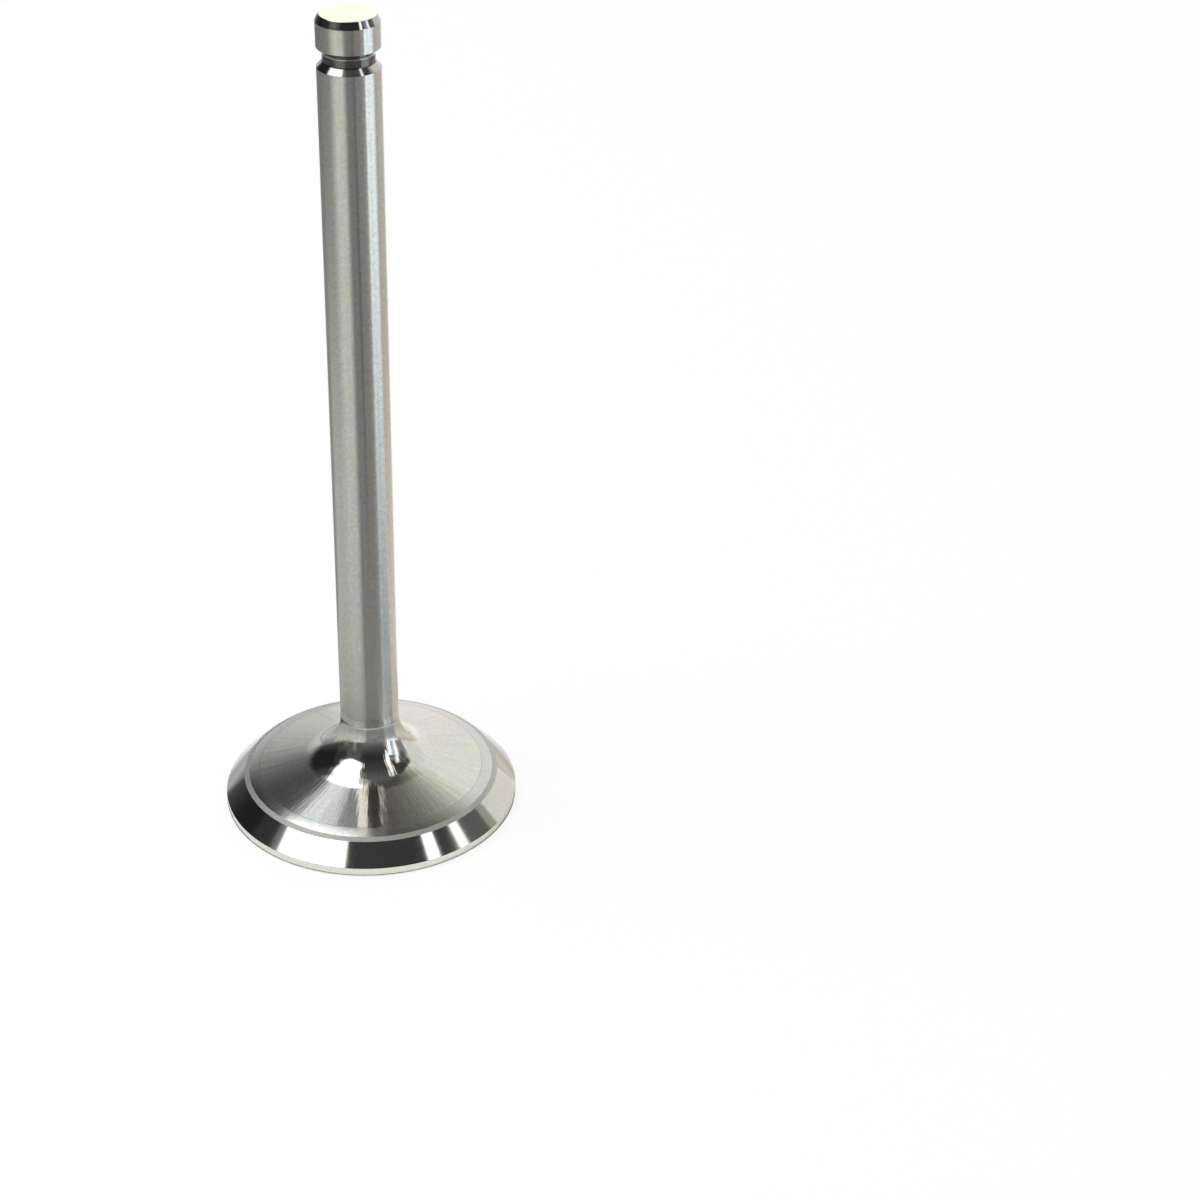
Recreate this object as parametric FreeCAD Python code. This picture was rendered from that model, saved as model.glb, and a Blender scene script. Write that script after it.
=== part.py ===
import FreeCAD, Part
import math
import os

# Poppet valve of a four-stroke engine, forged, turned and ground from one piece of steel.
# It stands on its head: the origin is the centre of the flat combustion face, Z runs up the stem
# to the tip, and every length is in millimetres.

# Overall size
valve_length = 112.0
head_diameter = 40.0
stem_diameter = 7.9

# Combustion face, with the round dimple that locates the forging
dimple_diameter = 5.6
dimple_depth = 1.6
face_edge_radius = 0.12

# Rim and seat, from the rim inwards; widths are radial, and angles are from the plane of the face
rim_height = 1.3
rim_edge_radius = 0.06
seat_width = 2.55
seat_angle = 45.0
back_cut_width = 0.68
back_cut_angle = 25.0

# Back of the head: a slightly crowned land, then the cone, then the tulip fillet up to the neck
land_width = 1.37
land_angle = 17.5
land_crown = 0.012
cone_angle = 15.0
tulip_radius = 6.9
neck_diameter = 8.0
neck_length = 0.05

# Shallow relief where the grinding wheel leaves the stem, above the neck
relief_length = 1.1
relief_depth = 0.14
relief_edge_radius = 0.05

# Groove for the split keepers, measured down from the tip
tip_land_length = 4.0
groove_root_width = 1.07
groove_depth = 0.74
groove_flank_angle = 45.0
groove_root_radius = 0.25
groove_edge_radius = 0.06

# Tip that the rocker presses on
tip_chamfer_width = 0.45
tip_chamfer_height = 0.9
tip_edge_radius = 0.08

# Most of a wall that a rounding may take up
rounding_share = 0.48
fillet_share = 0.95


def at(radius, height):
    """A point of the half section: radius out from the axis, height up from the face."""
    return FreeCAD.Vector(radius, 0, height)


def rise(width, angle):
    """How far a slope of this angle climbs over a width."""
    return width * math.tan(math.radians(angle))


def corner_arc(before, corner, after, radius):
    """Start, middle and end of the arc that rounds a corner, no longer than its walls allow."""
    to_before = before - corner
    to_after = after - corner
    half_angle = to_before.getAngle(to_after) / 2
    longest = rounding_share * min(to_before.Length, to_after.Length)
    tangent = min(radius / math.tan(half_angle), longest)
    fitted_radius = tangent * math.tan(half_angle)
    to_before.normalize()
    to_after.normalize()
    bisector = to_before + to_after
    bisector.normalize()
    middle = corner + bisector * (fitted_radius / math.sin(half_angle) - fitted_radius)
    return corner + to_before * tangent, middle, corner + to_after * tangent


def straight_run(corners):
    """Edges through a row of (point, rounding radius) corners; the first and last stay sharp."""
    edges = []
    pen = corners[0][0]
    for index in range(1, len(corners) - 1):
        corner, radius = corners[index]
        target = corner
        arc = None
        if radius > 0:
            arc = corner_arc(corners[index - 1][0], corner, corners[index + 1][0], radius)
            target = arc[0]
        edges.append(Part.makeLine(pen, target))
        pen = target
        if arc:
            edges.append(Part.Arc(*arc).toShape())
            pen = arc[2]
    edges.append(Part.makeLine(pen, corners[-1][0]))
    return edges


def bulged(start, end, bulge):
    """An arc from start to end whose middle stands off the chord, to the left of its direction."""
    chord = end - start
    left = FreeCAD.Vector(-chord.z, 0, chord.x)
    left.normalize()
    middle = (start + end) * 0.5 + left * bulge
    return Part.Arc(start, middle, end).toShape()


def head_outline():
    """Edges of the head, from the axis over the face, the rim and the seat to the top of the neck."""
    head_radius = head_diameter / 2
    neck_radius = neck_diameter / 2
    dimple_top = at(0, dimple_depth)
    dimple_edge = at(dimple_diameter / 2, 0)
    dimple_sphere = ((dimple_diameter / 2) ** 2 + dimple_depth ** 2) / (2 * dimple_depth)
    lean = math.asin(dimple_diameter / 2 / dimple_sphere) / 2
    dimple_middle = at(dimple_sphere * math.sin(lean), dimple_depth - dimple_sphere * (1 - math.cos(lean)))

    seat_inner = head_radius - seat_width
    seat_top = rim_height + rise(seat_width, seat_angle)
    land_outer = seat_inner - back_cut_width
    land_base = seat_top + rise(back_cut_width, back_cut_angle)
    cone_outer = land_outer - land_width
    cone_base = land_base + rise(land_width, land_angle)

    # The fillet rounds the corner where the cone would meet the neck
    cone_run = cone_outer - neck_radius
    corner_height = cone_base + rise(cone_run, cone_angle)
    half_angle = math.radians(90 + cone_angle) / 2
    cone_length = cone_run / math.cos(math.radians(cone_angle))
    tangent = min(tulip_radius / math.tan(half_angle), fillet_share * cone_length)
    fillet = tangent * math.tan(half_angle)
    fillet_foot = at(neck_radius + tangent * math.cos(math.radians(cone_angle)),
                     corner_height - tangent * math.sin(math.radians(cone_angle)))
    fillet_top = at(neck_radius, corner_height + tangent)
    fillet_middle = at(neck_radius + fillet - fillet * math.sin(half_angle),
                       corner_height + tangent - fillet * math.cos(half_angle))

    edges = [Part.Arc(dimple_top, dimple_middle, dimple_edge).toShape()]
    edges += straight_run([
        (dimple_edge, 0),
        (at(head_radius, 0), face_edge_radius),
        (at(head_radius, rim_height), rim_edge_radius),
        (at(seat_inner, seat_top), 0),
        (at(land_outer, land_base), 0),
    ])
    edges.append(bulged(at(land_outer, land_base), at(cone_outer, cone_base), -land_crown))
    edges.append(Part.makeLine(at(cone_outer, cone_base), fillet_foot))
    edges.append(Part.Arc(fillet_foot, fillet_middle, fillet_top).toShape())
    edges.append(Part.makeLine(fillet_top, fillet_top + at(0, neck_length)))
    return edges, fillet_top + at(0, neck_length)


def stem_outline(neck_top):
    """Edges of the stem, from the top of the neck past the relief and the keeper groove to the tip."""
    stem_radius = stem_diameter / 2
    relief_radius = stem_radius - relief_depth
    relief_top = neck_top.z + relief_length
    relief_root = relief_top - relief_depth

    root_radius = stem_radius - groove_depth
    flank = groove_depth / math.tan(math.radians(groove_flank_angle))
    groove_top = valve_length - tip_land_length
    root_top = groove_top - flank
    root_bottom = root_top - groove_root_width
    groove_bottom = root_bottom - flank

    tip_radius = stem_radius - tip_chamfer_width
    return straight_run([
        (neck_top, 0),
        (at(relief_radius, relief_root), relief_edge_radius),
        (at(stem_radius, relief_top), relief_edge_radius),
        (at(stem_radius, groove_bottom), groove_edge_radius),
        (at(root_radius, root_bottom), groove_root_radius),
        (at(root_radius, root_top), groove_root_radius),
        (at(stem_radius, groove_top), groove_edge_radius),
        (at(stem_radius, valve_length - tip_chamfer_height), tip_edge_radius),
        (at(tip_radius, valve_length), tip_edge_radius),
        (at(0, valve_length), 0),
    ])


def make_valve():
    """The valve as one solid, its half section turned once round the axis."""
    head_edges, neck_top = head_outline()
    axis_edge = Part.makeLine(at(0, valve_length), at(0, dimple_depth))
    section = Part.Face(Part.Wire(head_edges + stem_outline(neck_top) + [axis_edge]))
    return section.revolve(at(0, 0), FreeCAD.Vector(0, 0, 1), 360)


valve = make_valve()
print("valve", valve.ShapeType, "valid", valve.isValid(), "volume", round(valve.Volume, 1))
os.makedirs("parts", exist_ok=True)
valve.exportStep("parts/valve.step")
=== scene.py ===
import math

import bpy
from mathutils import Matrix, Vector


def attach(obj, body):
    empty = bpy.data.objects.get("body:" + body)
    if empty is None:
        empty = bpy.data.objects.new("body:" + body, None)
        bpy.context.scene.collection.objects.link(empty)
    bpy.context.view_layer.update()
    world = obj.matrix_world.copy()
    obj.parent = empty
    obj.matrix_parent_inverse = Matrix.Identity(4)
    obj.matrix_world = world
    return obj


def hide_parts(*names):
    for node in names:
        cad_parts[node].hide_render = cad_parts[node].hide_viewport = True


# Poppet valve of a four-stroke engine, standing on its head. Lengths are metres in the frame of the
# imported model, and the sizes of the valve are written in millimetres and turned into metres by MM.
MM = 0.001

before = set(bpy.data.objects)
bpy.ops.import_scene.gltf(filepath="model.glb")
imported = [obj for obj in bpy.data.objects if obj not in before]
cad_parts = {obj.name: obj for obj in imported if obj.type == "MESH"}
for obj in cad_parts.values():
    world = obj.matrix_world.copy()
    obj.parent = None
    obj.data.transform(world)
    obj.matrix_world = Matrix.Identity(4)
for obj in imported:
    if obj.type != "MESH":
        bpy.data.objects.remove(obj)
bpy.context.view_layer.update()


# Sizes of the valve, the same as those of the solid
valve_length = 112.0
head_diameter = 40.0
stem_diameter = 7.9

dimple_diameter = 5.6
dimple_depth = 1.6
face_edge_radius = 0.12

rim_height = 1.3
rim_edge_radius = 0.06
seat_width = 2.55
seat_angle = 45.0
back_cut_width = 0.68
back_cut_angle = 25.0

land_width = 1.37
land_angle = 17.5
land_crown = 0.012
cone_angle = 15.0
tulip_radius = 6.9
neck_diameter = 8.0
neck_length = 0.05

relief_length = 1.1
relief_depth = 0.14
relief_edge_radius = 0.05

tip_land_length = 4.0
groove_root_width = 1.07
groove_depth = 0.74
groove_flank_angle = 45.0
groove_root_radius = 0.25
groove_edge_radius = 0.06

tip_chamfer_width = 0.45
tip_chamfer_height = 0.9
tip_edge_radius = 0.08

rounding_share = 0.48
fillet_share = 0.95

# Width of the fine darker line of colour between the land and the cone, which has no form under it
land_line_width = 0.12

# How finely the outline is divided
turn_steps = 288
arc_step = math.radians(6)
longest_run = 3.0


# The half section: runs of (radius, height) points with the outward direction at each point

def rise(width, angle):
    """How far a slope of this angle climbs over a width."""
    return width * math.tan(math.radians(angle))


def outward(start, end):
    """The direction that looks out of the steel, to the right of the way from start to end."""
    way = (end - start).normalized()
    return Vector((way.y, -way.x))


def straight(start, end):
    """A straight run, divided where it is long."""
    count = max(1, math.ceil((end - start).length / longest_run))
    look = outward(start, end)
    return [(start.lerp(end, step / count), look) for step in range(count + 1)]


def curved(start, middle, end):
    """An arc through three points."""
    ax, ay = start
    bx, by = middle
    cx, cy = end
    twice = 2 * (ax * (by - cy) + bx * (cy - ay) + cx * (ay - by))
    a2, b2, c2 = ax * ax + ay * ay, bx * bx + by * by, cx * cx + cy * cy
    centre = Vector((
        (a2 * (by - cy) + b2 * (cy - ay) + c2 * (ay - by)) / twice,
        (a2 * (cx - bx) + b2 * (ax - cx) + c2 * (bx - ax)) / twice,
    ))
    spoke = start - centre
    sweep = 2 * spoke.angle_signed(middle - centre)
    count = max(2, math.ceil(abs(sweep) / arc_step))
    side = 1 if (start - centre).dot(outward(start, middle)) > 0 else -1
    run = []
    for step in range(count + 1):
        turned = Matrix.Rotation(-sweep * step / count, 2) @ spoke
        run.append((centre + turned, turned.normalized() * side))
    return run


def corner_arc(before, corner, after, radius):
    """Start, middle and end of the arc that rounds a corner, no longer than its walls allow."""
    to_before = before - corner
    to_after = after - corner
    half_angle = to_before.angle(to_after) / 2
    longest = rounding_share * min(to_before.length, to_after.length)
    tangent = min(radius / math.tan(half_angle), longest)
    fitted = tangent * math.tan(half_angle)
    to_before.normalize()
    to_after.normalize()
    bisector = (to_before + to_after).normalized()
    middle = corner + bisector * (fitted / math.sin(half_angle) - fitted)
    return corner + to_before * tangent, middle, corner + to_after * tangent


def turned_run(corners):
    """Runs through a row of (point, rounding radius, finish of the wall after it)."""
    runs = []
    pen = corners[0][0]
    for index in range(1, len(corners) - 1):
        finish = corners[index - 1][2]
        corner, radius, next_finish = corners[index]
        target = corner
        arc = None
        if radius > 0:
            arc = corner_arc(corners[index - 1][0], corner, corners[index + 1][0], radius)
            target = arc[0]
        runs.append((finish, straight(pen, target)))
        pen = target
        if arc:
            runs.append((next_finish, curved(*arc)))
            pen = arc[2]
    runs.append((corners[-2][2], straight(pen, corners[-1][0])))
    return runs


def head_section():
    """Runs of the head, from the axis over the face, the rim and the seat to the top of the neck."""
    head_radius = head_diameter / 2
    neck_radius = neck_diameter / 2
    dimple_top = Vector((0, dimple_depth))
    dimple_edge = Vector((dimple_diameter / 2, 0))
    sphere = ((dimple_diameter / 2) ** 2 + dimple_depth ** 2) / (2 * dimple_depth)
    lean = math.asin(dimple_diameter / 2 / sphere) / 2
    dimple_middle = Vector((sphere * math.sin(lean), dimple_depth - sphere * (1 - math.cos(lean))))

    seat_inner = head_radius - seat_width
    seat_top = rim_height + rise(seat_width, seat_angle)
    land_outer = seat_inner - back_cut_width
    land_base = seat_top + rise(back_cut_width, back_cut_angle)
    cone_outer = land_outer - land_width
    cone_base = land_base + rise(land_width, land_angle)

    cone_run = cone_outer - neck_radius
    corner_height = cone_base + rise(cone_run, cone_angle)
    half_angle = math.radians(90 + cone_angle) / 2
    cone_length = cone_run / math.cos(math.radians(cone_angle))
    tangent = min(tulip_radius / math.tan(half_angle), fillet_share * cone_length)
    fillet = tangent * math.tan(half_angle)
    fillet_foot = Vector((neck_radius + tangent * math.cos(math.radians(cone_angle)),
                          corner_height - tangent * math.sin(math.radians(cone_angle))))
    fillet_top = Vector((neck_radius, corner_height + tangent))
    fillet_middle = Vector((neck_radius + fillet - fillet * math.sin(half_angle),
                            corner_height + tangent - fillet * math.cos(half_angle)))
    neck_top = fillet_top + Vector((0, neck_length))

    land_start = Vector((land_outer, land_base))
    land_end = Vector((cone_outer, cone_base))
    land_middle = (land_start + land_end) / 2 + outward(land_start, land_end) * land_crown

    runs = [("dimple", curved(dimple_top, dimple_middle, dimple_edge))]
    runs += turned_run([
        (dimple_edge, 0, "face"),
        (Vector((head_radius, 0)), face_edge_radius, "rim"),
        (Vector((head_radius, rim_height)), rim_edge_radius, "seat"),
        (Vector((seat_inner, seat_top)), 0, "back_cut"),
        (land_start, 0, "back_cut"),
    ])
    line_end = land_end + (fillet_foot - land_end).normalized() * land_line_width
    runs.append(("land", curved(land_start, land_middle, land_end)))
    runs.append(("land_line", straight(land_end, line_end)))
    runs.append(("tulip", straight(line_end, fillet_foot)))
    runs.append(("tulip", curved(fillet_foot, fillet_middle, fillet_top)))
    runs.append(("tulip", straight(fillet_top, neck_top)))
    return runs, neck_top


def stem_section(neck_top):
    """Runs of the stem, from the neck past the relief and the keeper groove to the tip."""
    stem_radius = stem_diameter / 2
    relief_radius = stem_radius - relief_depth
    relief_top = neck_top.y + relief_length
    root_radius = stem_radius - groove_depth
    flank = groove_depth / math.tan(math.radians(groove_flank_angle))
    groove_top = valve_length - tip_land_length
    root_top = groove_top - flank
    root_bottom = root_top - groove_root_width
    groove_bottom = root_bottom - flank
    tip_radius = stem_radius - tip_chamfer_width
    return turned_run([
        (neck_top, 0, "relief"),
        (Vector((relief_radius, relief_top - relief_depth)), relief_edge_radius, "relief"),
        (Vector((stem_radius, relief_top)), relief_edge_radius, "stem"),
        (Vector((stem_radius, groove_bottom)), groove_edge_radius, "groove"),
        (Vector((root_radius, root_bottom)), groove_root_radius, "groove_root"),
        (Vector((root_radius, root_top)), groove_root_radius, "groove"),
        (Vector((stem_radius, groove_top)), groove_edge_radius, "tip_land"),
        (Vector((stem_radius, valve_length - tip_chamfer_height)), tip_edge_radius, "chamfer"),
        (Vector((tip_radius, valve_length)), tip_edge_radius, "tip_face"),
        (Vector((0, valve_length)), 0, "tip_face"),
    ])


def placed(name, data):
    """A new object with this data, put into the scene."""
    made = bpy.data.objects.new(name, data)
    bpy.context.scene.collection.objects.link(made)
    return made


# Shader groups: effects that several finishes share

def new_group(name, inputs, outputs):
    """An empty shader group with named sockets: (name, kind, value) in, (name, kind) out."""
    group = bpy.data.node_groups.new(name, "ShaderNodeTree")
    for socket, kind, value in inputs:
        made = group.interface.new_socket(socket, in_out="INPUT", socket_type="NodeSocket" + kind)
        made.default_value = value
    for socket, kind in outputs:
        group.interface.new_socket(socket, in_out="OUTPUT", socket_type="NodeSocket" + kind)
    return group, group.nodes.new("NodeGroupInput"), group.nodes.new("NodeGroupOutput")


def feed(tree, socket, value):
    """Sets an input to a number, or links it to an output."""
    if isinstance(value, bpy.types.NodeSocket):
        tree.links.new(value, socket)
    else:
        socket.default_value = value


def maths(tree, operation, *values, clamp=False):
    """A Math node with its inputs set to numbers or linked to sockets; gives its output."""
    node = tree.nodes.new("ShaderNodeMath")
    node.operation = operation
    node.use_clamp = clamp
    for socket, value in zip(node.inputs, values):
        feed(tree, socket, value)
    return node.outputs[0]


def weighed_sum(tree, start, *parts):
    """A start value, plus each of some outputs times its weight."""
    total = start
    for socket, weight in parts:
        total = maths(tree, "ADD", total, maths(tree, "MULTIPLY", socket, weight))
    return total


def joined(tree, x, y, z):
    """A vector of three numbers or outputs."""
    node = tree.nodes.new("ShaderNodeCombineXYZ")
    for socket, value in zip(node.inputs, (x, y, z)):
        feed(tree, socket, value)
    return node.outputs[0]


def scaled(tree, vector, factor):
    """A vector times a number or an output."""
    node = tree.nodes.new("ShaderNodeVectorMath")
    node.operation = "SCALE"
    tree.links.new(vector, node.inputs[0])
    feed(tree, node.inputs["Scale"], factor)
    return node.outputs[0]


def use_group(tree, group):
    """A node that stands for a shader group."""
    node = tree.nodes.new("ShaderNodeGroup")
    node.node_tree = group
    return node


def noise(tree, vector, scale, detail, roughness):
    """A noise value over a vector."""
    node = tree.nodes.new("ShaderNodeTexNoise")
    node.inputs["Scale"].default_value = scale
    node.inputs["Detail"].default_value = detail
    node.inputs["Roughness"].default_value = roughness
    tree.links.new(vector, node.inputs["Vector"])
    return node.outputs["Fac"]


def turning_coordinates():
    """Round the axis: how far out, how far up, and which way, in millimetres."""
    nearest = 0.01
    group, _, made = new_group(
        "turning_coordinates",
        [],
        [("Out", "Float"), ("Up", "Float"), ("Way X", "Float"), ("Way Y", "Float"), ("Place", "Vector")],
    )
    here = group.nodes.new("ShaderNodeTexCoord")
    place = scaled(group, here.outputs["Object"], 1 / MM)
    parts = group.nodes.new("ShaderNodeSeparateXYZ")
    group.links.new(place, parts.inputs[0])
    x, y, z = parts.outputs
    squares = maths(group, "ADD", maths(group, "MULTIPLY", x, x), maths(group, "MULTIPLY", y, y))
    out = maths(group, "SQRT", squares)
    safe = maths(group, "MAXIMUM", out, nearest)
    group.links.new(out, made.inputs["Out"])
    group.links.new(z, made.inputs["Up"])
    group.links.new(maths(group, "DIVIDE", x, safe), made.inputs["Way X"])
    group.links.new(maths(group, "DIVIDE", y, safe), made.inputs["Way Y"])
    group.links.new(place, made.inputs["Place"])
    return group


def turning_marks(coordinates):
    """Fine ring marks left by the tool or the wheel, broken into long arcs, a slow drift of tone, and
    streaks that run up the surface, as a belt leaves them."""
    arcs = 2.0
    drift_per_mm = 0.35
    streaks = 17
    streak_change_per_mm = 0.12
    group, given, made = new_group(
        "turning_marks",
        [("Out Share", "Float", 0.0), ("Up Share", "Float", 1.0), ("Marks per mm", "Float", 6.0)],
        [("Height", "Float"), ("Tone", "Float"), ("Drift", "Float"), ("Streak", "Float")],
    )
    here = use_group(group, coordinates)
    way_x = here.outputs["Way X"]
    way_y = here.outputs["Way Y"]
    across = maths(
        group, "ADD",
        maths(group, "MULTIPLY", here.outputs["Out"], given.outputs["Out Share"]),
        maths(group, "MULTIPLY", here.outputs["Up"], given.outputs["Up Share"]),
    )
    marked = maths(group, "MULTIPLY", across, given.outputs["Marks per mm"])
    arc_x = maths(group, "MULTIPLY", way_x, arcs)
    arc_y = maths(group, "MULTIPLY", way_y, arcs)
    fine = noise(group, joined(group, marked, arc_x, arc_y), scale=1.0, detail=3.0, roughness=0.6)
    slow = maths(group, "MULTIPLY", across, drift_per_mm)
    drift = noise(group, joined(group, slow, way_x, way_y), scale=1.0, detail=2.0, roughness=0.5)
    streak_x = maths(group, "MULTIPLY", way_x, streaks)
    streak_y = maths(group, "MULTIPLY", way_y, streaks)
    along = maths(group, "MULTIPLY", across, streak_change_per_mm)
    spread = joined(group, streak_x, streak_y, along)
    streak = noise(group, spread, scale=1.0, detail=3.0, roughness=0.6)
    group.links.new(fine, made.inputs["Height"])
    group.links.new(maths(group, "SUBTRACT", fine, 0.5), made.inputs["Tone"])
    group.links.new(maths(group, "SUBTRACT", drift, 0.5), made.inputs["Drift"])
    group.links.new(streak, made.inputs["Streak"])
    return group


def handled_surface(coordinates):
    """What every ground surface gathers: a faint cloudy mottle, a finer grain, a slow change of tint, and
    a few specks."""
    pits_per_mm = 0.55
    pit_reach = 0.075
    least_kept = 0.56
    group, _, made = new_group(
        "handled_surface",
        [],
        [("Mottle", "Float"), ("Grain", "Float"), ("Tint", "Float"), ("Specks", "Float")],
    )
    place = use_group(group, coordinates).outputs["Place"]
    cloud = noise(group, place, scale=1.6, detail=4.0, roughness=0.65)
    grain = noise(group, place, scale=3.0, detail=1.5, roughness=0.6)
    tint = noise(group, place, scale=0.35, detail=2.0, roughness=0.5)
    kept = noise(group, place, scale=0.8, detail=1.0, roughness=0.5)
    pits = group.nodes.new("ShaderNodeTexVoronoi")
    pits.inputs["Scale"].default_value = pits_per_mm
    group.links.new(place, pits.inputs["Vector"])
    far = maths(group, "DIVIDE", pits.outputs["Distance"], pit_reach)
    near = maths(group, "SUBTRACT", 1.0, far, clamp=True)
    some = maths(group, "GREATER_THAN", kept, least_kept)
    group.links.new(maths(group, "SUBTRACT", cloud, 0.5), made.inputs["Mottle"])
    group.links.new(maths(group, "SUBTRACT", grain, 0.5), made.inputs["Grain"])
    group.links.new(maths(group, "SUBTRACT", tint, 0.5), made.inputs["Tint"])
    group.links.new(maths(group, "MULTIPLY", near, some), made.inputs["Specks"])
    return group


def steel_surface(marks, handled):
    """The colour, roughness and height of a steel finish, from its ring marks and what it has gathered."""
    mark_tone = 0.12
    drift_tone = 0.08
    mottle_tone = 0.20
    tint_lean = 0.10
    speck_depth = 0.5
    mark_roughness = 0.10
    drift_roughness = 0.05
    group, given, made = new_group(
        "steel_surface",
        [("Colour", "Color", (0.5, 0.5, 0.5, 1.0)), ("Roughness", "Float", 0.3), ("Out Share", "Float", 0.0),
         ("Up Share", "Float", 1.0), ("Marks per mm", "Float", 6.0), ("Grain", "Float", 0.24),
         ("Streak Tone", "Float", 0.0), ("Streak Height", "Float", 0.0)],
        [("Colour", "Color"), ("Roughness", "Float"), ("Height", "Float")],
    )
    rings = use_group(group, marks)
    for name in ("Out Share", "Up Share", "Marks per mm"):
        group.links.new(given.outputs[name], rings.inputs[name])
    wear = use_group(group, handled)

    clean = weighed_sum(
        group, 1.0,
        (rings.outputs["Tone"], mark_tone),
        (rings.outputs["Drift"], drift_tone),
        (wear.outputs["Mottle"], mottle_tone),
        (wear.outputs["Grain"], given.outputs["Grain"]),
        (maths(group, "SUBTRACT", rings.outputs["Streak"], 0.5), given.outputs["Streak Tone"]),
    )
    unpitted = weighed_sum(group, 1.0, (wear.outputs["Specks"], -speck_depth))
    brightness = maths(group, "MULTIPLY", clean, unpitted)
    parts = group.nodes.new("ShaderNodeSeparateXYZ")
    group.links.new(given.outputs["Colour"], parts.inputs[0])
    red_part, green_part, blue_part = parts.outputs
    warmer = weighed_sum(group, red_part, (wear.outputs["Tint"], tint_lean))
    yellower = weighed_sum(group, blue_part, (wear.outputs["Tint"], -tint_lean))
    toned = scaled(group, joined(group, warmer, green_part, yellower), brightness)
    shine = weighed_sum(
        group, given.outputs["Roughness"],
        (rings.outputs["Tone"], mark_roughness),
        (rings.outputs["Drift"], drift_roughness),
    )
    height = weighed_sum(
        group, rings.outputs["Height"],
        (rings.outputs["Streak"], given.outputs["Streak Height"]),
    )
    group.links.new(toned, made.inputs["Colour"])
    group.links.new(shine, made.inputs["Roughness"])
    group.links.new(height, made.inputs["Height"])
    return group


def steel_finish(name, colour, roughness, anisotropy, shares=(0.0, 1.0), per_mm=6.0, depth=0.0004,
                 streak=0.0, streak_tone=0.0, grain=0.24):
    """A steel finish: ring marks across the surface, their shine, and a slow unevenness of tone. shares
    are how much of the way across the marks runs outwards and upwards; depth and streak are in
    millimetres; streak_tone and grain are changes of brightness."""
    quarter_turn = 0.25
    material = bpy.data.materials.new(name)
    material.use_nodes = True
    tree = material.node_tree
    shader = tree.nodes["Principled BSDF"]
    shader.inputs["Metallic"].default_value = 1.0
    shader.inputs["Anisotropic"].default_value = anisotropy
    shader.inputs["Anisotropic Rotation"].default_value = quarter_turn
    round_axis = tree.nodes.new("ShaderNodeTangent")
    round_axis.direction_type = "RADIAL"
    round_axis.axis = "Z"
    tree.links.new(round_axis.outputs[0], shader.inputs["Tangent"])

    surface = use_group(tree, surface_group)
    own_values = {
        "Colour": (*colour, 1.0),
        "Roughness": roughness,
        "Out Share": shares[0],
        "Up Share": shares[1],
        "Marks per mm": per_mm,
        "Grain": grain,
        "Streak Tone": streak_tone,
        "Streak Height": streak / depth,
    }
    for socket, value in own_values.items():
        surface.inputs[socket].default_value = value
    tree.links.new(surface.outputs["Colour"], shader.inputs["Base Color"])
    tree.links.new(surface.outputs["Roughness"], shader.inputs["Roughness"])

    bump = tree.nodes.new("ShaderNodeBump")
    bump.inputs["Strength"].default_value = 1.0
    bump.inputs["Distance"].default_value = depth * MM
    tree.links.new(surface.outputs["Height"], bump.inputs["Height"])
    tree.links.new(bump.outputs[0], shader.inputs["Normal"])
    return material


# The valve's mesh, turned from the half section

def turn_valve(runs, finishes):
    """Turns the runs once round the axis into one closed mesh, with true normals and one finish a run."""
    names = list(finishes)
    loose = 1e-6
    points = []
    rows = []
    for finish, run in runs:
        row = []
        for place, look in run:
            if not points or (points[-1] - place).length > loose:
                points.append(place)
            row.append((len(points) - 1, look))
        for (low, low_look), (high, high_look) in zip(row, row[1:]):
            if low != high:
                rows.append((low, high, low_look, high_look, names.index(finish)))

    travelled = [0.0]
    for before, after in zip(points, points[1:]):
        travelled.append(travelled[-1] + (after - before).length)

    vertices = []
    rings = []
    for place in points:
        if place.x < loose:
            rings.append([len(vertices)] * turn_steps)
            vertices.append((0.0, 0.0, place.y * MM))
            continue
        rings.append(list(range(len(vertices), len(vertices) + turn_steps)))
        for step in range(turn_steps):
            angle = 2 * math.pi * step / turn_steps
            vertices.append((place.x * MM * math.cos(angle), place.x * MM * math.sin(angle), place.y * MM))

    def spun(look, step):
        """The outward direction of the section, turned to a step of the turn."""
        angle = 2 * math.pi * step / turn_steps
        return (look.x * math.cos(angle), look.x * math.sin(angle), look.y)

    faces, slots, normals, map_places = [], [], [], []
    for low, high, low_look, high_look, slot in rows:
        for step in range(turn_steps):
            ahead = step + 1
            corners = [
                (rings[low][step], low_look, step, low),
                (rings[low][ahead % turn_steps], low_look, ahead, low),
                (rings[high][ahead % turn_steps], high_look, ahead, high),
                (rings[high][step], high_look, step, high),
            ]
            if corners[0][0] == corners[1][0]:
                corners[0:2] = [(corners[0][0], low_look, step + 0.5, low)]
            elif corners[2][0] == corners[3][0]:
                corners[2:4] = [(corners[2][0], high_look, step + 0.5, high)]
            faces.append([corner[0] for corner in corners])
            slots.append(slot)
            for _, look, turn, point in corners:
                normals.append(spun(look, turn))
                map_places.append((turn / turn_steps, travelled[point] / travelled[-1]))

    mesh = bpy.data.meshes.new("turned_valve")
    mesh.from_pydata(vertices, [], faces)
    for finish in names:
        mesh.materials.append(finishes[finish])
    mesh.polygons.foreach_set("material_index", slots)
    layer = mesh.uv_layers.new(name="OFBake")
    layer.data.foreach_set("uv", [value for place in map_places for value in place])
    mesh.polygons.foreach_set("use_smooth", [True] * len(faces))
    mesh.normals_split_custom_set(normals)
    mesh.update()
    return placed("turned_valve", mesh)


coordinates_group = turning_coordinates()
surface_group = steel_surface(turning_marks(coordinates_group), handled_surface(coordinates_group))

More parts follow.
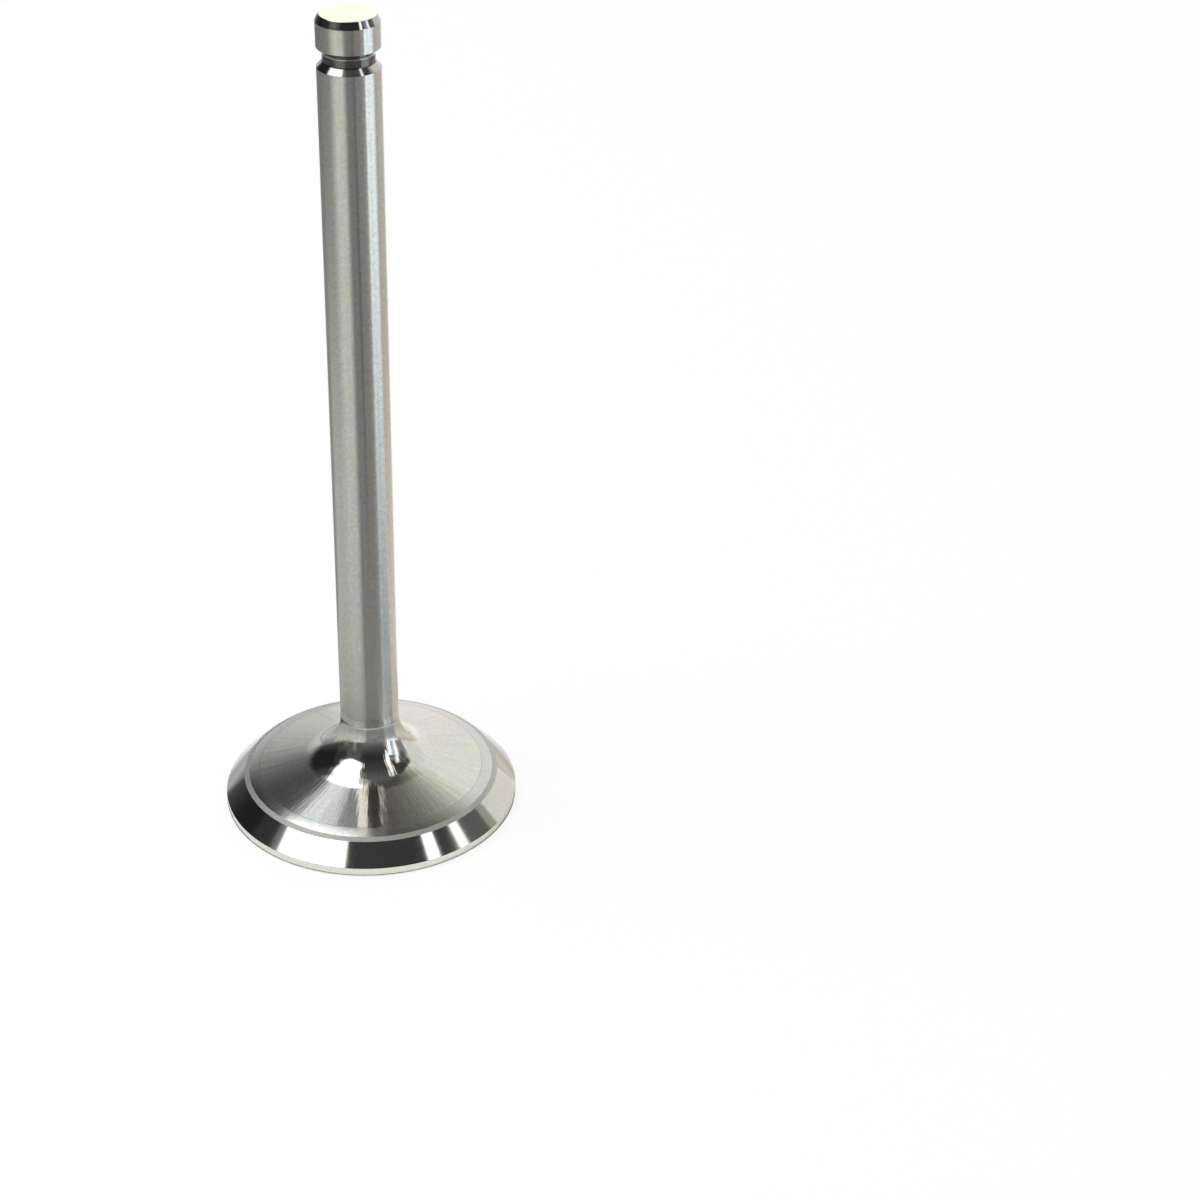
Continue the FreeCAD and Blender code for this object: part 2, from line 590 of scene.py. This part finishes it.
steel = (0.62, 0.60, 0.55)
outwards = (1.0, 0.0)
down_slope = (1.0, -1.0)
finishes = {
    # The finish of each run: name, colour, roughness and how far its reflections are drawn out
    # The dimple is painted much darker than the face: a painted dark reflection in the hollow.
    "dimple": steel_finish("drilled_dimple_painted_reflection", (0.30, 0.30, 0.31), 0.22, 0.3, shares=outwards, per_mm=5.0),
    "face": steel_finish("satin_face", steel, 0.34, 0.5, shares=outwards, per_mm=8.0),
    # The rim is painted brighter and warmer than the rest of the steel: a painted highlight.
    "rim": steel_finish("turned_rim_painted_highlight", (0.82, 0.80, 0.74), 0.22, 0.5, per_mm=8.0),
    "seat": steel_finish("lapped_seat", steel, 0.10, 0.5, per_mm=10.0, depth=0.00005),
    "back_cut": steel_finish("back_cut", (0.58, 0.57, 0.54), 0.60, 0.3, per_mm=10.0),
    "land": steel_finish("turned_land", (0.57, 0.56, 0.52), 0.19, 0.6, shares=down_slope, depth=0.0006,
                         streak=0.008),
    # A thin band painted darker than the land and the cone, with no form under it.
    "land_line": steel_finish("darker_line", (0.46, 0.45, 0.43), 0.20, 0.5, per_mm=8.0),
    "tulip": steel_finish("turned_tulip", steel, 0.085, 0.6, shares=down_slope, depth=0.0006,
                          streak=0.015, streak_tone=0.28),
    "relief": steel_finish("wheel_relief", steel, 0.24, 1.0, per_mm=8.0),
    "stem": steel_finish("ground_stem", steel, 0.23, 1.0, per_mm=7.0, grain=0.4),
    "groove": steel_finish("turned_groove", (0.50, 0.48, 0.45), 0.16, 0.7, per_mm=9.0),
    # The groove's root is painted nearly black: painted shade in the recess, together with dirt.
    "groove_root": steel_finish("groove_root_dirt_and_painted_shade", (0.14, 0.13, 0.13), 0.18, 0.7, per_mm=9.0),
    "tip_land": steel_finish("ground_tip_land", steel, 0.24, 1.0, per_mm=7.0, grain=0.4),
    "chamfer": steel_finish("ground_chamfer", (0.47, 0.46, 0.44), 0.10, 0.5, per_mm=9.0),
    # The tip face is painted far brighter and warmer than the steel: a painted highlight on the top.
    "tip_face": steel_finish("ground_tip_face_painted_highlight", (0.88, 0.86, 0.80), 0.28, 0.3, shares=outwards, per_mm=8.0),
}

head_runs, top_of_neck = head_section()
valve = turn_valve(head_runs + stem_section(top_of_neck), finishes)
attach(valve, "root")
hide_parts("valve")


# The studio: floor, world, lamp and the cards that shape the reflections

def way(azimuth, elevation):
    """The direction at an azimuth, from the camera's side towards +X, and an elevation, in degrees."""
    a, e = math.radians(azimuth), math.radians(elevation)
    return Vector((math.sin(a) * math.cos(e), -math.cos(a) * math.cos(e), math.sin(e)))


def between(stops, at):
    """The value at a place on a line of (place, value) stops, level beyond its ends."""
    if at <= stops[0][0]:
        return stops[0][1]
    for (low, low_value), (high, high_value) in zip(stops, stops[1:]):
        if at <= high:
            return low_value + (high_value - low_value) * (at - low) / (high - low)
    return stops[-1][1]


def light_path(tree, shares):
    """The sum of some of Light Path's outputs, each times its share, at most 1."""
    path = tree.nodes.new("ShaderNodeLightPath")
    total = 0.0
    for name, share in shares.items():
        total = maths(tree, "ADD", total, maths(tree, "MULTIPLY", path.outputs[name], share), clamp=True)
    return total


def pale_floor():
    """A plain pale floor that keeps the soft shadow. It can be looked through from below, and a
    reflection that starts closer to it than gap passes too, so that the face it carries isn't black."""
    half = 1.5
    below = -0.00004
    gap = 0.0004
    colour = (0.90, 0.90, 0.89, 1)
    shown_white = 0.85
    mesh = bpy.data.meshes.new("pale_floor")
    corners = [(-half, -half, below), (half, -half, below), (half, half, below), (-half, half, below)]
    mesh.from_pydata(corners, [], [(0, 1, 2, 3)])
    floor = placed("pale_floor", mesh)
    material = bpy.data.materials.new("pale_floor")
    material.use_nodes = True
    tree = material.node_tree
    tree.nodes.remove(tree.nodes["Principled BSDF"])
    matt = tree.nodes.new("ShaderNodeBsdfDiffuse")
    matt.inputs["Color"].default_value = colour
    white = tree.nodes.new("ShaderNodeEmission")
    white.inputs["Color"].default_value = (1, 1, 1, 1)
    white.inputs["Strength"].default_value = 1.0
    seen = tree.nodes.new("ShaderNodeMixShader")
    share = light_path(tree, {"Is Camera Ray": shown_white, "Is Transmission Ray": shown_white})
    tree.links.new(share, seen.inputs[0])
    tree.links.new(matt.outputs[0], seen.inputs[1])
    tree.links.new(white.outputs[0], seen.inputs[2])
    clear = tree.nodes.new("ShaderNodeBsdfTransparent")
    under = tree.nodes.new("ShaderNodeMixShader")
    side = tree.nodes.new("ShaderNodeNewGeometry")
    path = tree.nodes.new("ShaderNodeLightPath")
    close = maths(tree, "LESS_THAN", path.outputs["Ray Length"], gap)
    touching = maths(tree, "MULTIPLY", path.outputs["Is Glossy Ray"], close)
    tree.links.new(maths(tree, "MAXIMUM", side.outputs["Backfacing"], touching), under.inputs[0])
    tree.links.new(seen.outputs[0], under.inputs[1])
    tree.links.new(clear.outputs[0], under.inputs[2])
    tree.links.new(under.outputs[0], tree.nodes["Material Output"].inputs["Surface"])
    mesh.materials.append(material)


def white_world():
    """White to the eye and to the steel, and a soft plain light on everything else."""
    plain_strength = 0.65
    world = bpy.data.worlds.new("studio")
    bpy.context.scene.world = world
    world.use_nodes = True
    tree = world.node_tree
    plain = tree.nodes["Background"]
    plain.inputs["Color"].default_value = (1, 1, 1, 1)
    plain.inputs["Strength"].default_value = plain_strength
    white = tree.nodes.new("ShaderNodeBackground")
    white.inputs["Color"].default_value = (1, 1, 1, 1)
    white.inputs["Strength"].default_value = 1.0
    mix = tree.nodes.new("ShaderNodeMixShader")
    share = light_path(tree, {"Is Camera Ray": 1.0, "Is Glossy Ray": 1.0, "Is Transmission Ray": 1.0})
    tree.links.new(share, mix.inputs[0])
    tree.links.new(plain.outputs[0], mix.inputs[1])
    tree.links.new(white.outputs[0], mix.inputs[2])
    tree.links.new(mix.outputs[0], tree.nodes["World Output"].inputs["Surface"])


def card_material():
    """Shows the light that a card's mesh holds at each point, and lets its feathered edges fade."""
    material = bpy.data.materials.new("studio_card")
    material.use_nodes = True
    tree = material.node_tree
    tree.nodes.remove(tree.nodes["Principled BSDF"])
    held = tree.nodes.new("ShaderNodeAttribute")
    held.attribute_name = "glow"
    glow = tree.nodes.new("ShaderNodeEmission")
    clear = tree.nodes.new("ShaderNodeBsdfTransparent")
    fade = tree.nodes.new("ShaderNodeMixShader")
    tree.links.new(held.outputs["Color"], glow.inputs["Color"])
    tree.links.new(held.outputs["Alpha"], fade.inputs[0])
    tree.links.new(clear.outputs[0], fade.inputs[1])
    tree.links.new(glow.outputs[0], fade.inputs[2])
    tree.links.new(fade.outputs[0], tree.nodes["Material Output"].inputs["Surface"])
    return material


def faded(inside, feather):
    """How solid a card is at a distance inside its edge."""
    if feather <= 0:
        return 1.0
    share = min(max(inside / feather, 0.0), 1.0)
    return share * share * (3 - 2 * share)


def card_from_grid(name, points, tint, wide, material):
    """A card from rows of (place, strength, solidity), seen in reflections only."""
    tall = len(points) // wide
    faces = [
        (j * wide + i, j * wide + i + 1, (j + 1) * wide + i + 1, (j + 1) * wide + i)
        for j in range(tall - 1) for i in range(wide - 1)
    ]
    mesh = bpy.data.meshes.new(name)
    mesh.from_pydata([place for place, _, _ in points], [], faces)
    glow = mesh.attributes.new("glow", "FLOAT_COLOR", "POINT")
    held = []
    for _, strength, solid in points:
        held += [strength * part for part in tint]
        held.append(solid)
    glow.data.foreach_set("color", held)
    mesh.materials.append(material)
    card = placed(name, mesh)
    card.visible_camera = False
    card.visible_diffuse = False
    card.visible_shadow = False
    card.visible_transmission = False


# Fewest points along a side of a card
fewest_points = 4


def standing_card(name, tint, columns, stops, distance, feather, material):
    """A curved card round the valve. columns are (azimuth, lowest, highest elevation), stops are
    (elevation, strength), and feather is the width of the faded sides and ends, in degrees."""
    middle = Vector((0, 0, 0.012))
    row_height = 1.5
    low_line = [(azimuth, low) for azimuth, low, _ in columns]
    high_line = [(azimuth, high) for azimuth, _, high in columns]
    first, last = columns[0][0], columns[-1][0]
    wide = max(fewest_points, math.ceil(last - first) + 1)
    tallest = max(high - low for _, low, high in columns)
    tall = max(fewest_points, math.ceil(tallest / row_height) + 1)
    points = []
    for j in range(tall):
        for i in range(wide):
            azimuth = first + (last - first) * i / (wide - 1)
            low, high = between(low_line, azimuth), between(high_line, azimuth)
            elevation = low + (high - low) * j / (tall - 1)
            solid = faded(min(azimuth - first, last - azimuth), feather[0])
            solid *= faded(min(elevation - low, high - elevation), feather[1])
            points.append((middle + way(azimuth, elevation) * distance, between(stops, elevation), solid))
    card_from_grid(name, points, tint, wide, material)


def lying_card(name, tint, first, last, stops, feather, level, material):
    """A card on the floor, a sector round the valve; stops are (distance from the axis, strength), and
    feather is the width of its faded first and last side. It fades in over the first of the stops, and
    lies above the cards of lower levels."""
    lowest = 0.0002
    level_gap = 0.00004
    column_width = 2
    height = lowest + level_gap * level
    wide = max(fewest_points, math.ceil((last - first) / column_width) + 1)
    points = []
    for index, (distance, strength) in enumerate(stops):
        for i in range(wide):
            azimuth = first + (last - first) * i / (wide - 1)
            spot = way(azimuth, 0) * distance
            sides = faded(azimuth - first, feather[0]) * faded(last - azimuth, feather[1])
            solid = sides if index > 0 else 0.0
            points.append((Vector((spot.x, spot.y, height)), strength, solid))
    card_from_grid(name, points, tint, wide, material)


def block(left, right, low, high):
    """The columns of an upright block of azimuth and elevation."""
    return [(left, low, high), (right, low, high)]


def soft_lamp(name, azimuth, elevation, distance, size, watts):
    """A square soft lamp that looks at the valve and stays out of its reflections."""
    data = bpy.data.lights.new(name, "AREA")
    data.shape = "SQUARE"
    data.size = size
    data.energy = watts
    lamp = placed(name, data)
    towards = way(azimuth, elevation)
    lamp.location = towards * distance
    lamp.rotation_mode = "QUATERNION"
    lamp.rotation_quaternion = towards.to_track_quat("Z", "Y")
    lamp.visible_glossy = False


pale_floor()
white_world()
soft_lamp("key_lamp", azimuth=-95, elevation=62, distance=1.3, size=0.8, watts=9)

# Tints of the cards
plain = (1.0, 1.0, 1.0)
warm = (1.04, 1.0, 0.9)
olive = (1.0, 1.01, 0.91)
cool = (0.93, 1.0, 1.06)
sky = (0.85, 0.98, 1.08)
blue = (0.40, 0.74, 1.10)

# Shapes of the larger cards: (azimuth, lowest elevation, highest elevation)
soft_box_columns = [
    (-172, 72, 73), (-168, 71.5, 76), (-165, 71, 77), (-162, 70.2, 78), (-158, 68.5, 78),
    (-154, 65.5, 78.5), (-150, 62, 78.5), (-147, 57, 79), (-144, 53, 79), (-120, 53, 79),
    (-110, 49, 79.5), (-100, 45, 79.5), (-90, 41, 79.5), (-82, 34, 79), (-60, 33.5, 77),
    (-52, 35, 74), (-45, 38, 68), (-38, 41, 62), (-33, 43.5, 57), (-29, 44.5, 56), (-26.5, 47, 54),
]
window_arc_columns = [
    (44.5, 17, 43), (48, 18, 47), (50, 27, 51), (53, 30, 53), (55, 38, 55), (58, 42, 57),
    (60, 48.5, 59), (63, 50, 61), (65, 51, 63), (68, 55, 64.5), (72, 58, 66), (76, 60.5, 67.5),
    (80, 63.5, 69), (85, 65, 70), (92, 66.5, 69),
]
bright_side_columns = [(106, -9, 28), (112, -9, 37), (120, -9, 45), (140, -9, 48)]
left_flag_columns = [(-158, -2, 53), (-84, -2, 44)]
soft_box_spill_columns = [(-91, 29, 40), (-80, 31, 44)]

# Light of the uneven standing cards: (elevation, strength)
surround_stops = [
    (-3, 0.33), (1, 0.23), (6, 0.17), (12, 0.12), (18, 0.09), (25, 0.055), (35, 0.038), (45, 0.05),
    (55, 0.063), (65, 0.085), (75, 0.13), (90, 0.16),
]
rear_stops = [
    (42, 1.15), (48, 0.85), (52, 0.56), (55, 0.42), (58, 0.3), (62, 0.19), (66, 0.11), (75, 0.09),
    (90, 0.14),
]
rear_left_stops = [
    (-4, 0.85), (10, 0.75), (16, 0.63), (20, 0.55), (25, 0.38), (30, 0.23), (35, 0.17), (40, 0.13),
    (46, 0.12), (50, 0.2), (53, 0.4),
]
left_flag_stops = [(-2, 0.1), (8, 0.05), (14, 0.022), (40, 0.022), (47, 0.08)]
left_flag_edge_stops = [(6, 0.12), (20, 0.045), (34, 0.05), (40, 0.12)]
side_streak_stops = [(-4, 0.5), (8, 0.38), (20, 0.22)]
top_left_stops = [(79, 0.75), (85, 0.5), (88, 0.33)]
rear_bright_stops = [(52, 1.1), (56, 1.25), (61, 1.0)]
window_sky_stops = [(-7, 0.6), (12, 0.9), (16, 1.1), (31, 1.1)]

standing_cards = [
    # name, tint, columns, stops or one strength, distance, feather of the sides and the ends
    ("surround", plain, block(-150, 105, -3, 90), surround_stops, 1.60, (0, 0)),
    ("rear_surround", olive, block(105, 210, 42, 90), rear_stops, 1.60, (0, 0)),
    ("rear_backdrop", plain, block(130, 190, -6, 46), 1.1, 1.59, (5, 3)),
    ("rear_glow", warm, block(173, 187, 13, 31), 1.3, 1.57, (3, 3)),
    ("rear_left_shade", plain, block(-178, -140, -4, 56), rear_left_stops, 1.58, (4, 0)),
    ("left_flag", plain, left_flag_columns, left_flag_stops, 1.56, (13, 3)),
    ("left_flag_edge", plain, block(-106, -72, 6, 40), left_flag_edge_stops, 1.55, (4, 3)),
    ("side_shade", plain, block(-76, -28, -3, 38), 0.13, 1.555, (4, 4)),
    ("side_streak", plain, block(-56, -45, -4, 22), side_streak_stops, 1.54, (4, 6)),
    ("top_left", warm, block(-165, -40, 79, 90), top_left_stops, 1.50, (5, 0)),
    ("soft_box_side", cool, block(-52, -22, 64, 80), 0.26, 1.50, (4, 3)),
    ("soft_box", plain, soft_box_columns, 2.3, 1.40, (0, 0.8)),
    ("soft_box_spill", plain, soft_box_spill_columns, 0.28, 1.41, (4, 5)),
    ("rear_bright", cool, block(-163, -145, 51.5, 73), rear_bright_stops, 1.48, (3, 4)),
    ("rear_cool", cool, block(-180, -158, 50, 76), 0.35, 1.49, (1.5, 2)),
    ("window_arc", plain, window_arc_columns, 2.2, 1.40, (0, 0.8)),
    ("window_white", plain, block(53, 64, -7, 30), 1.9, 1.42, (1, 2)),
    ("window_sky", blue, block(63.5, 74, -7, 31), window_sky_stops, 1.43, (1, 2)),
    ("window_top", warm, block(58, 74, 33, 40), 0.45, 1.43, (1, 1)),
    ("window_pane", plain, block(74, 82.7, -9, 44), 2.0, 1.42, (1, 2)),
    ("window_sliver", sky, block(48.5, 53, -4, 24), 0.03, 1.38, (1, 2)),
    ("window_grey", plain, block(40, 48.5, -3, 14), 0.3, 1.44, (1, 3)),
    ("window_post", sky, block(84.5, 92, -9, 34), 0.45, 1.41, (1, 3)),
    ("window_wall", cool, block(91, 107, -12, 24), 0.3, 1.42, (2, 3)),
    ("window_reveal", plain, block(81.7, 101, 20, 43), 0.15, 1.40, (1, 2.5)),
    ("window_corner", warm, block(100.3, 108, 20, 34), 0.45, 1.405, (1, 2)),
    ("window_lintel", plain, block(93, 112, 30, 46), 0.09, 1.402, (4, 5)),
    ("bright_side", plain, bright_side_columns, 1.0, 1.44, (2, 2)),
]

# Light of the lying cards: (distance from the axis, strength). These glow on the floor and are seen in
# reflections only; their low strengths next to the rim are painted shadow of the valve on the floor.
# A painted contact shadow: a dark ring on the floor round the foot of the rim, seen in reflections only.
contact_shadow_stops = [(0.0198, 0.2), (0.01985, 0.2), (0.02016, 0.2)]
# A dark band painted on the floor just behind the rim, seen in reflections only: painted shade at the foot
# of the head.
floor_rear_stops = [(0.0202, 0.16), (0.0206, 0.16), (0.03, 0.16)]
floor_rear_left_stops = [(0.03, 0.4), (0.034, 0.4), (1.5, 0.4)]
# A painted pool of light on the floor behind the valve at the right, seen in reflections only.
floor_rear_right_stops = [(0.03, 1.2), (0.034, 1.2), (1.5, 1.3)]
left_near_stops = [(0.023, 0.45), (0.025, 0.45), (0.03, 0.5), (0.045, 0.72), (0.1, 0.8), (0.2, 0.8)]
floor_left_stops = [
    (0.023, 0.5), (0.025, 0.5), (0.03, 0.55), (0.045, 0.68), (0.08, 0.74), (0.13, 0.68), (0.2, 0.45),
    (0.33, 0.24), (1.5, 0.12),
]
left_far_stops = [(0.04, 0.4), (0.05, 0.36), (0.3, 0.3)]
floor_front_stops = [
    (0.023, 0.3), (0.025, 0.3), (0.04, 0.3), (0.08, 0.28), (0.13, 0.35), (0.33, 0.36), (1.5, 0.36),
]
front_low_stops = [(0.025, 0.28), (0.03, 0.28), (0.05, 0.38), (0.1, 0.27), (0.13, 0.29)]
front_dark_stops = [(0.1, 0.28), (0.13, 0.29), (0.25, 0.31), (0.4, 0.28), (1.5, 0.28)]
front_line_stops = [(0.1, 0.08), (0.13, 0.08), (0.19, 0.1), (0.25, 0.28), (0.4, 0.28)]
floor_right_stops = [
    (0.023, 0.45), (0.025, 0.45), (0.042, 0.42), (0.06, 0.48), (0.10, 0.68), (0.13, 0.85),
]
right_edge_stops = [(0.023, 0.6), (0.025, 0.6), (0.04, 0.85), (0.08, 0.8), (0.14, 0.62), (1.5, 0.62)]
# A painted pool of light: glare on the floor under the window, seen in reflections only.
floor_window_stops = [(0.10, 0.95), (0.14, 1.2), (0.2, 1.4), (0.33, 1.65), (1.5, 1.6)]

lying_cards = [
    # name, tint, first and last azimuth, stops, feather of the first and the last side
    # Painted contact shadow round the rim's foot.
    ("floor_contact_shadow", plain, -180, 180, contact_shadow_stops, (0, 0)),
    # Painted shade behind the rim's foot.
    ("floor_rear", plain, 140, 220, floor_rear_stops, (10, 10)),
    ("floor_rear_left", plain, 172, 212, floor_rear_left_stops, (20, 8)),
    # Painted pool of light behind, at the right.
    ("floor_rear_right", plain, 144, 186, floor_rear_right_stops, (14, 14)),
    ("floor_left_near", plain, -110, -14, left_near_stops, (30, 8)),
    ("floor_left", plain, -172, -44, floor_left_stops, (6, 36)),
    ("floor_left_far", plain, -158, -120, left_far_stops, (8, 18)),
    ("floor_front", plain, -28, 58, floor_front_stops, (20, 9)),
    ("floor_front_low", plain, -14, 44, front_low_stops, (16, 30)),
    ("floor_front_dark", plain, -22, 21, front_dark_stops, (22, 4)),
    ("floor_front_line", plain, 6, 20, front_line_stops, (9, 3)),
    ("floor_right", cool, 48, 100, floor_right_stops, (10, 5)),
    ("floor_right_edge", warm, 92, 152, right_edge_stops, (6, 6)),
    # Painted pool of light under the window.
    ("floor_window", sky, 52, 94, floor_window_stops, (6, 5)),
]

card_finish = card_material()
for name, tint, columns, stops, distance, feather in standing_cards:
    if not isinstance(stops, list):
        stops = [(0, stops)]
    standing_card(name, tint, columns, stops, distance, feather, card_finish)
for level, (name, tint, first, last, stops, feather) in enumerate(lying_cards):
    lying_card(name, tint, first, last, stops, feather, level, card_finish)


# The camera, at the photograph's place and angle

def photo_camera():
    """The camera of the photograph: above the head's front, turned a little and rolled a little."""
    place = Vector((0, -308.562, 217.236)) * MM
    forward = Vector((0.0867, 0.85149, -0.51716)).normalized()
    roll = math.radians(-1.212)
    level = forward.cross(Vector((0, 0, 1))).normalized()
    down = forward.cross(level)
    right = level * math.cos(roll) + down * math.sin(roll)
    up = right.cross(forward)
    data = bpy.data.cameras.new("photo_camera")
    data.sensor_width = 36
    data.lens = 80.64
    data.clip_start = 0.01
    data.clip_end = 20
    camera = placed("photo_camera", data)
    turn = Matrix((right, up, -forward)).transposed().to_4x4()
    camera.matrix_world = Matrix.Translation(place) @ turn
    bpy.context.scene.camera = camera


photo_camera()
bpy.context.scene.view_settings.view_transform = "Standard"
